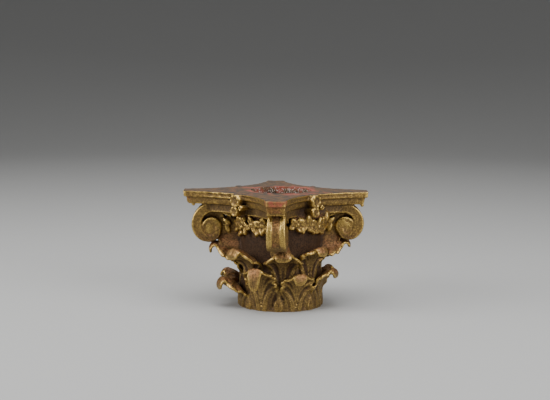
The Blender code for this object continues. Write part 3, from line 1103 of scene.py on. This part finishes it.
@dataclass(frozen=True)
class GiltBronze:
    """Cast bronze, fire-gilded, with the gilding rubbed thin.

    Gold shows on rims and flats that were handled, mottled with brown where it has gone; the brightest gold
    on rims is partly a painted highlight. Hollows hold a dark brown patina, darkened further as painted
    shade, and gold is dimmed there as painted shade. Leaf tops that face up have worn to pinkish copper, and
    red bole and oxide lie on the slab.
    """

    gold: str = "D2B264"
    thin_gold: str = "86693A"
    patina_and_shade_tone: str = "26160A"
    brown: str = "583E24"
    copper: str = "A4724A"
    bole: str = "9A4838"
    slate: str = "352E27"
    pale: str = "B4A89E"

    def build(self) -> bpy.types.Material:
        """Builds the material.

        Returns:
            The material.
        """
        material = bpy.data.materials.new("gilt_cast_bronze")
        material.use_nodes = True
        tree = material.node_tree
        tree.nodes.clear()
        spot = add_node(tree, "ShaderNodeTexCoord").outputs["Object"]

        def noise_map(size: float, detail: float) -> Socket:
            """A noise whose blotches are about size millimetres wide."""
            inputs = {"Vector": spot, "Scale": 1.0 / (size * MM), "Detail": detail}
            return add_node(tree, "ShaderNodeTexNoise", inputs).outputs["Fac"]

        def stretched(value: object, low: float, high: float) -> Socket:
            """Stretches a number between two levels to the range from 0 to 1."""
            inputs = {"Value": value, "From Min": low, "From Max": high}
            return add_node(tree, "ShaderNodeMapRange", inputs).outputs["Result"]

        def speckle(size: float, detail: float, low: float, high: float) -> Socket:
            """A noise of so many millimetres, stretched between two levels."""
            return stretched(noise_map(size, detail), low, high)

        def mark(name: str) -> Socket:
            """One of the casting's own marks of wear, patina, painted shade and painted highlight."""
            return add_node(tree, "ShaderNodeAttribute", attribute_name=name).outputs["Fac"]

        def sum_up(
            first: object, second: object, how: str, third: object = 0.0, held: bool = True
        ) -> Socket:
            """Joins two or three numbers, and holds the result between 0 and 1 unless told not to."""
            inputs = {0: first, 1: second, 2: third}
            return add_node(tree, "ShaderNodeMath", inputs, operation=how, use_clamp=held).outputs[0]

        def blend(share: object, under: object, over: object) -> Socket:
            """Lays one colour over another by a share."""
            inputs = {"Factor": share, "A": under, "B": over}
            return add_node(tree, "ShaderNodeMix", inputs, data_type="RGBA").outputs["Result"]

        def mix(share: object, under: object, over: object) -> Socket:
            """Goes from one number to another by a share."""
            return add_node(tree, "ShaderNodeMix", {"Factor": share, "A": under, "B": over}).outputs["Result"]

        def past(value: object, level: float, width: float) -> Socket:
            """Rises from 0 to 1 as a length passes a level in millimetres."""
            inputs = {"Value": value, "From Min": level * MM, "From Max": (level + width) * MM}
            ramp = add_node(tree, "ShaderNodeMapRange", inputs, interpolation_type="SMOOTHSTEP")
            return ramp.outputs["Result"]

        def fold(how: str, *shares: object) -> Socket:
            """Joins shares one after another in the same way."""
            joined = shares[0]
            for share in shares[1:]:
                joined = sum_up(joined, share, how)
            return joined

        def times(*shares: object) -> Socket:
            """Multiplies shares."""
            return fold("MULTIPLY", *shares)

        def most(*shares: object) -> Socket:
            """The largest of some shares."""
            return fold("MAXIMUM", *shares)

        def without(share: Socket) -> Socket:
            """What is left of 1 after a share."""
            return sum_up(1.0, share, "SUBTRACT")

        height = add_node(tree, "ShaderNodeSeparateXYZ", {"Vector": spot}).outputs["Z"]
        level = add_node(tree, "ShaderNodeVectorMath", {0: spot, 1: (1.0, 1.0, 0.0)}, operation="MULTIPLY")
        axis = {0: level.outputs["Vector"], 1: tuple(core_centre() * MM)}
        radius = add_node(tree, "ShaderNodeVectorMath", axis, operation="DISTANCE").outputs["Value"]
        ahead = {0: spot, 1: tuple(outwards(Corner.FRONT.value[0]))}
        reach = add_node(tree, "ShaderNodeVectorMath", ahead, operation="DOT_PRODUCT").outputs["Value"]

        # Areas of the casting: the slab's top, the hole's wall and the front corner's fascia
        top = past(height, HEIGHT - 0.5, 0.2)
        under_top = without(past(height, HEIGHT - 0.3, 0.2))
        wall = times(without(past(radius, 18.3, 0.3)), past(height, HEIGHT - 4.2, 0.3), under_top)
        front = times(past(reach, CORNER_MARK, 1.0), past(height, HEIGHT - FASCIA_MARK, 0.4), without(top))

        # Gold over the patina, brightest on rims as worn gilding and a painted highlight, gone in hollows as
        # painted shade
        fine = speckle(0.9, 3.0, 0.35, 0.65)
        coarse = speckle(3.4, 3.0, 0.38, 0.62)
        patches = speckle(6.5, 2.0, 0.44, 0.58)
        grit = speckle(0.55, 2.0, 0.42, 0.6)
        wear_and_highlight, shade_and_patina = mark("wear_and_highlight"), mark("shade_and_patina")
        worn = sum_up(times(fine, 0.5), coarse, "MULTIPLY_ADD", 0.12)
        gilded = sum_up(wear_and_highlight, times(mark("gilt"), mix(worn, 0.45, 1.7)), "ADD")
        # Painted shade: no gold where the casting is closed in
        gilded = times(gilded, without(shade_and_patina))
        ground = blend(fine, linear(self.patina_and_shade_tone), linear(self.brown))
        # Painted shade with real patina: hollows and creases go to the darkest brown
        ground = blend(times(shade_and_patina, 0.9), ground, linear(self.patina_and_shade_tone))
        # Painted highlight with real wear: the gold is brightest on rims and edges
        rich = times(sum_up(wear_and_highlight, times(fine, 0.6), "ADD"), mix(grit, 0.25, 1.0))
        gold = blend(rich, linear(self.thin_gold), linear(self.gold))
        colour = blend(gilded, ground, gold)

        # Bare copper, then the slab's grey-brown top, the red bole and the pale specks in the hole
        copper = times(mark("copper"), mix(patches, 0.45, 1.0))
        colour = blend(copper, colour, blend(fine, linear(self.brown), linear(self.copper)))
        slate = most(top, times(wall, 0.6))
        colour = blend(slate, colour, blend(coarse, linear(self.brown), linear(self.slate)))
        bare = sum_up(patches, 0.9, "MULTIPLY_ADD", -0.9, held=False)
        near_hole = times(top, without(past(radius, 18.0, 16.0)), 0.5)
        reddened = most(near_hole, times(wall, 0.6), times(front, 0.85))
        bole = times(sum_up(reddened, 1.45, "MULTIPLY_ADD", bare), mix(fine, 0.55, 1.1))
        colour = blend(bole, colour, linear(self.bole))
        chalk = times(wall, speckle(0.8, 2.0, 0.53, 0.64))
        colour = blend(chalk, colour, linear(self.pale))

        # Where the gold has gone the skin is dull
        dull = most(bole, slate, chalk)
        metallic = mix(dull, mix(gilded, 0.45, 1.0), 0.15)
        roughness = mix(dull, mix(gilded, 0.6, 0.34), 0.85)
        roughness = sum_up(roughness, times(coarse, 0.12), "ADD")
        pits = add_node(tree, "ShaderNodeTexVoronoi", {"Vector": spot, "Scale": 1.0 / (1.3 * MM)})
        pitted = stretched(pits.outputs["Distance"], 0.0, 0.32)
        level = sum_up(noise_map(0.55, 3.0), times(pitted, 0.4), "ADD")
        bump = add_node(tree, "ShaderNodeBump", {"Height": level, "Strength": 0.55, "Distance": 0.35 * MM})
        skin = {"Base Color": colour, "Metallic": metallic, "Roughness": roughness}
        skin["Normal"] = bump.outputs["Normal"]
        shader = add_node(tree, "ShaderNodeBsdfPrincipled", skin)
        add_node(tree, "ShaderNodeOutputMaterial", {"Surface": shader.outputs["BSDF"]})
        return material


@dataclass
class Casting:
    """The whole capital as one casting: its forms fused, cored, thinned, weathered with painted shade and
    highlights, and dressed.
    """

    voxel: float = 0.42
    most_triangles: int = 194000
    unevenness: float = 0.16
    swell_size: float = 2.6
    dent_size: float = 1.1
    rays: int = 20
    ray_length: float = 9.0
    rim_wear_and_highlight: float = 1.15
    vein_wear_and_highlight: float = 0.75
    leaves_end: float = 42.5
    carving_foot: float = 41.0
    neck_foot: float = 55.8
    slab: Slab = field(default_factory=Slab)
    bell: Bell = field(default_factory=Bell)
    leaves: LeafWreath = field(default_factory=LeafWreath)
    core: Core = field(default_factory=Core)
    finish: GiltBronze = field(default_factory=GiltBronze)

    def forms(self) -> list[Piece]:
        """Builds every form of the casting."""
        made = self.slab.build() + self.bell.build()
        for corner in Corner:
            made += Scroll(corner).build()
        made += self.leaves.build()
        for face in FACES:
            made += FaceOrnament(face).build()
        return made

    def fuse(self) -> Piece:
        """Joins the forms into one skin, cores it and thins its mesh.

        Returns:
            The casting.
        """
        casting = join(self.forms(), "casting")
        apply_modifier(casting, "REMESH", mode="VOXEL", voxel_size=self.voxel * MM, adaptivity=0.0)
        log.info("fused skin: %d faces", len(casting.data.polygons))
        self.core.cut(casting)
        casting.data.calc_loop_triangles()
        ratio = min(1.0, self.most_triangles / len(casting.data.loop_triangles))
        apply_modifier(casting, "DECIMATE", ratio=ratio, use_collapse_triangulate=True)
        return casting

    def roughen(self, casting: Piece, low: Vector, high: Vector) -> None:
        """Gives the skin the slight unevenness of a hand-finished casting, inside the solid's box.

        Args:
            casting: the casting.
            low: the box's lowest corner in metres.
            high: the box's highest corner in metres.
        """
        points = read_points(casting.data)
        swell, dents = (
            np.array([noise.noise(Vector(point)) for point in points / (size * MM)])
            for size in (self.swell_size, self.dent_size)
        )
        uneven = self.unevenness * MM * (swell + 0.5 * dents)
        points += read_points(casting.data, normals=True) * uneven[:, None]
        move_points(casting.data, np.clip(points, np.array(low), np.array(high)))

    def weather_and_shade(self, casting: Piece) -> None:
        """Writes the marks that the material reads: worn rims that also stand for a painted highlight, gilded
        areas, hollows that hold patina and painted shade, and bare copper.
        """
        mesh = casting.data
        count = len(mesh.vertices)
        points, normals = read_points(mesh) / MM, read_points(mesh, normals=True)
        ends = np.empty(len(mesh.edges) * 2, np.int32)
        mesh.edges.foreach_get("vertices", ends)
        first, second = ends[0::2], ends[1::2]
        degree = np.maximum(np.bincount(first, minlength=count) + np.bincount(second, minlength=count), 1)

        def averaged(values: np.ndarray, times: int) -> np.ndarray:
            """Each vertex's value averaged with its neighbours' so many times."""
            for _ in range(times):
                sums = [
                    np.bincount(first, column[second], count) + np.bincount(second, column[first], count)
                    for column in values.T
                ]
                values = 0.5 * values + 0.5 * np.stack(sums, axis=1) / degree[:, None]
            return values

        def near(lines: np.ndarray, width: float) -> np.ndarray:
            """Falls from 1 on a line's points to 0 a few widths off it."""
            tree = KDTree(len(lines))
            for index, spot in enumerate(lines):
                tree.insert(spot, index)
            tree.balance()
            gaps = np.array([tree.find(point)[2] for point in points])
            return np.exp(-((gaps / width) ** 2))

        narrow = np.einsum("ij,ij->i", points - averaged(points, 6), normals)
        broad = np.einsum("ij,ij->i", points - averaged(points, 40), normals)
        hidden = averaged(self.occlusion(mesh, points, normals)[:, None], 2)[:, 0]

        # Areas by height, by distance from the bell's wall, and by distance from the slab's centre
        x, y, z = points.T
        radius = np.hypot(x - core_centre()[0], y - core_centre()[1])
        off_bell = radius - self.bell.radius(z)
        off_centre = np.hypot(x, y)
        in_slab = above(z, UNDERSIDE, 1.0)
        ground = 1.0 - above(off_bell, 0.5, 0.6)
        leafy = below(z, self.leaves_end, 2.0)
        inside = below(radius, 23.0, 0.5) * below(z, HEIGHT - 3.5, 0.5)
        fascia = above(z, HEIGHT - FASCIA_MARK, 0.4)

        # Rims and veins are worn bright, partly as a painted highlight, and what is closed in is dark, as
        # patina and painted shade
        grown = self.leaves.leaves()
        rim = near(np.concatenate([leaf.rim() for leaf in grown]), self.rim_wear_and_highlight)
        vein = near(np.concatenate([leaf.vein_points() for leaf in grown]), self.vein_wear_and_highlight)
        # Worn gilding on sharp and broad edges, also standing for a painted edge highlight
        wear_and_highlight = above(narrow, 0.05, 0.15) * 0.8 + above(broad, 0.15, 0.7) * 0.12
        wear_and_highlight = wear_and_highlight * (1.0 - leafy) + leafy * (0.3 * wear_and_highlight + 0.8 * rim + 0.42 * vein)
        # Painted shade: the rims' gold is dimmed where the casting closes over them
        wear_and_highlight = wear_and_highlight * (1.0 - 0.8 * above(hidden, 0.55, 0.3))
        # Painted shade with patina: darkest where the rays soon meet the casting, and in creases
        shade_and_patina = above(hidden, 0.42, 0.36) * 0.9 + above(-narrow, 0.03, 0.14) * 0.4

        # The carving under the slab keeps most of its gilding, though less on the neck beside the roundels
        carving = above(z, self.carving_foot, 3.0) * above(off_bell, 1.5, 1.5)
        carved = 0.86 - 0.16 * above(z, UNDERSIDE, 0.6)
        # Painted shade: leaf faces above 20 mm, under the upper leaves' curls, get less gilding
        faces = 0.24 - 0.1 * above(z, 20.0, 6.0)
        curled, foot = above(off_bell, 2.4, 1.6), below(z, 10.0, 8.0)
        gilt = np.maximum.reduce([carved * carving, 0.36 * curled, faces * (1.0 - ground), 0.55 * foot])
        along_face, off_face = np.minimum(np.abs(x), np.abs(y)), np.maximum(np.abs(x), np.abs(y))
        boss = below(along_face, 7.0, 0.5) * above(off_face, 28.2, 0.5)
        neck = below(z, UNDERSIDE, 0.4) * above(z, self.neck_foot, 0.5) * below(off_centre, 40.0, 1.0)
        gilt = gilt * (1.0 - 0.45 * neck * (1.0 - boss))

        # Copper shows on leaf tops, along the straps, on two corners and on the bell's bead
        lip = np.exp(-(((z - self.bell.bead_height) / 1.3) ** 2)) * below(np.abs(off_bell), 1.0, 0.5)
        facing_up = above(normals[:, 2], -0.15, 0.5) * below(z, 48.0, 4.0)
        leaf_tops = facing_up * above(off_bell, 1.2, 1.5)
        diagonal = np.minimum(np.abs(x - y), np.abs(x + y)) / math.sqrt(2.0)
        strap = below(diagonal, 2.1, 0.5) * above(off_centre, 41.0, 2.0) * below(z, UNDERSIDE - 0.5, 0.5)
        corner = above(points @ outwards(Corner.FRONT.value[0]), CORNER_MARK, 1.0) * in_slab
        left_corner = above(off_centre, 49.0, 2.0) * above(-x, 30.0, 2.0) * above(-y, 30.0, 1.0) * in_slab
        marks = {
            "wear_and_highlight": wear_and_highlight * (1.0 - inside),
            "gilt": gilt * (1.0 - inside),
            # Painted shade with patina: the hollows, the core's inside and the bell's ground behind the
            # carving
            "shade_and_patina": np.clip(np.maximum.reduce([shade_and_patina, inside, 0.55 * ground]), 0.0, 1.0),
            "copper": np.maximum.reduce([
                0.85 * leaf_tops * (1.0 - 0.9 * rim) * (1.0 - 0.4 * vein),
                0.65 * strap * (1.0 - smooth_step(narrow / 0.1)),
                0.8 * corner * (1.0 - fascia),
                0.6 * left_corner * (1.0 - fascia),
                0.75 * lip,
                0.1 * ground,
            ]),
        }
        for name, values in marks.items():
            made = mesh.attributes.new(name, "FLOAT", "POINT")
            made.data.foreach_set("value", values.astype(np.float32))

    def occlusion(self, mesh: bpy.types.Mesh, points: np.ndarray, normals: np.ndarray) -> np.ndarray:
        """How closed-in each vertex is: the share of rays over it that soon meet the casting.

        Args:
            mesh: the casting's mesh.
            points: its vertices in millimetres.
            normals: their normals.

        Returns:
            A share for each vertex, from 0 for open to 1 for buried.
        """
        tree = BVHTree.FromPolygons(
            [Vector(p) for p in points], [tuple(face.vertices) for face in mesh.polygons], epsilon=0.0
        )
        turn = math.pi * (3.0 - math.sqrt(5.0))
        rays = []
        for k in range(self.rays):
            up = math.sqrt(1.0 - (k + 0.5) / self.rays)
            side = math.sqrt(1.0 - up * up)
            rays.append((side * math.cos(turn * k), side * math.sin(turn * k), up))
        met = np.zeros(len(points))
        for index, (point, normal) in enumerate(zip(points, normals)):
            axis = Vector(normal)
            frame = axis.to_track_quat("Z", "Y").to_matrix()
            origin = Vector(point) + axis * 0.25
            hits = 0.0
            for ray in rays:
                gap = tree.ray_cast(origin, frame @ Vector(ray), self.ray_length)[3]
                if gap is not None:
                    hits += 1.0 - 0.4 * gap / self.ray_length
            met[index] = hits / self.rays
        return met

    def build(self, low: Vector, high: Vector) -> Piece:
        """Builds the finished casting.

        Args:
            low: the solid's lowest corner in metres.
            high: the solid's highest corner in metres.

        Returns:
            The casting, riding on the frame and standing for the solid.
        """
        casting = self.fuse()
        self.roughen(casting, low, high)
        deselect()
        casting.select_set(True)
        bpy.context.view_layer.objects.active = casting
        bpy.ops.object.shade_smooth_by_angle(angle=math.radians(55.0))
        self.weather_and_shade(casting)
        casting.data.materials.clear()
        casting.data.materials.append(self.finish.build())
        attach(casting, "root")
        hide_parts("capital")
        return casting


@dataclass
class Studio:
    """A plain pale floor, soft lights and the camera at the photograph's angle."""

    lens: float = 79.9
    sensor: float = 36.0
    camera_place: tuple[float, float, float] = (0.5118, -0.5124, 0.1506)
    azimuth: float = 45.0
    pitch: float = 6.9
    roll: float = 0.45
    floor_colour: str = "9A9A99"
    paper_reach: float = 1100.0
    paper_bend: float = 1300.0
    paper_height: float = 600.0
    sky: float = 0.1

    def floor(self) -> None:
        """The paper that the capital stands on, turned up all round far off. It isn't part of the object."""

        def shape(across: np.ndarray, along: np.ndarray) -> np.ndarray:
            """Level in the middle, then a quarter turn up to an upright wall."""
            turned = np.clip((along - 0.3) / 0.4, 0.0, 1.0) * math.pi / 2.0
            level = self.paper_reach * np.clip(along / 0.3, 0.0, 1.0) + self.paper_bend * np.sin(turned)
            up = self.paper_bend * (1.0 - np.cos(turned))
            up = up + self.paper_height * np.clip((along - 0.7) / 0.3, 0.0, 1.0)
            return outwards(360.0 * across) * level[:, None] + up[:, None] * UP

        floor = shaped_grid("floor", 96, 60, shape, closed=False)
        bpy.ops.object.shade_smooth()
        material = bpy.data.materials.new("pale_paper_sweep")
        material.use_nodes = True
        shader = material.node_tree.nodes["Principled BSDF"]
        shader.inputs["Base Color"].default_value = linear(self.floor_colour)
        shader.inputs["Roughness"].default_value = 0.9
        floor.data.materials.append(material)

    def light(self, name: str, place: tuple[float, float, float], size: float, power: float) -> None:
        """A square soft light at a place, turned to the capital."""
        lamp = bpy.data.lights.new(name, "AREA")
        lamp.size = size
        lamp.energy = power
        made = bpy.data.objects.new(name, lamp)
        made.location = place
        aim = Vector((0.0, 0.0, 0.04)) - Vector(place)
        made.rotation_mode = "QUATERNION"
        made.rotation_quaternion = aim.to_track_quat("-Z", "Y")
        bpy.context.scene.collection.objects.link(made)

    def build(self) -> None:
        """Sets the floor, the lights, the world and the camera."""
        self.floor()
        self.light("softbox_over", (0.1, -0.12, 0.8), 0.8, 11.5)
        self.light("softbox_left", (-0.35, -0.8, 0.45), 0.45, 8.0)
        self.light("softbox_right", (0.85, 0.1, 0.4), 0.45, 6.0)
        self.light("softbox_back", (-0.7, 0.75, 0.9), 0.6, 2.0)
        world = bpy.data.worlds.new("studio")
        world.use_nodes = True
        background = world.node_tree.nodes["Background"].inputs
        background["Color"].default_value = (self.sky,) * 3 + (1.0,)
        background["Strength"].default_value = 1.0
        bpy.context.scene.world = world
        data = bpy.data.cameras.new("camera")
        data.lens, data.sensor_width = self.lens, self.sensor
        data.clip_start, data.clip_end = 0.01, 100.0
        camera = bpy.data.objects.new("camera", data)
        turn = math.radians(self.azimuth)
        fall = math.radians(self.pitch)
        ahead = Vector((-math.sin(turn) * math.cos(fall), math.cos(turn) * math.cos(fall), -math.sin(fall)))
        facing = ahead.to_track_quat("-Z", "Y").to_matrix() @ Matrix.Rotation(math.radians(self.roll), 3, "Z")
        camera.location = self.camera_place
        camera.rotation_mode = "QUATERNION"
        camera.rotation_quaternion = facing.to_quaternion()
        bpy.context.scene.collection.objects.link(camera)
        bpy.context.scene.camera = camera


def main() -> None:
    """Loads the frame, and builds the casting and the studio."""
    logging.basicConfig(level=logging.INFO, format="%(name)s: %(message)s")
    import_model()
    low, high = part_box("capital")
    casting = Casting().build(low, high)
    casting.data.calc_loop_triangles()
    log.info("%s: %d triangles", casting.name, len(casting.data.loop_triangles))
    Studio().build()
    log.info("studio: floor, lights and camera")


if __name__ == "__main__":
    main()
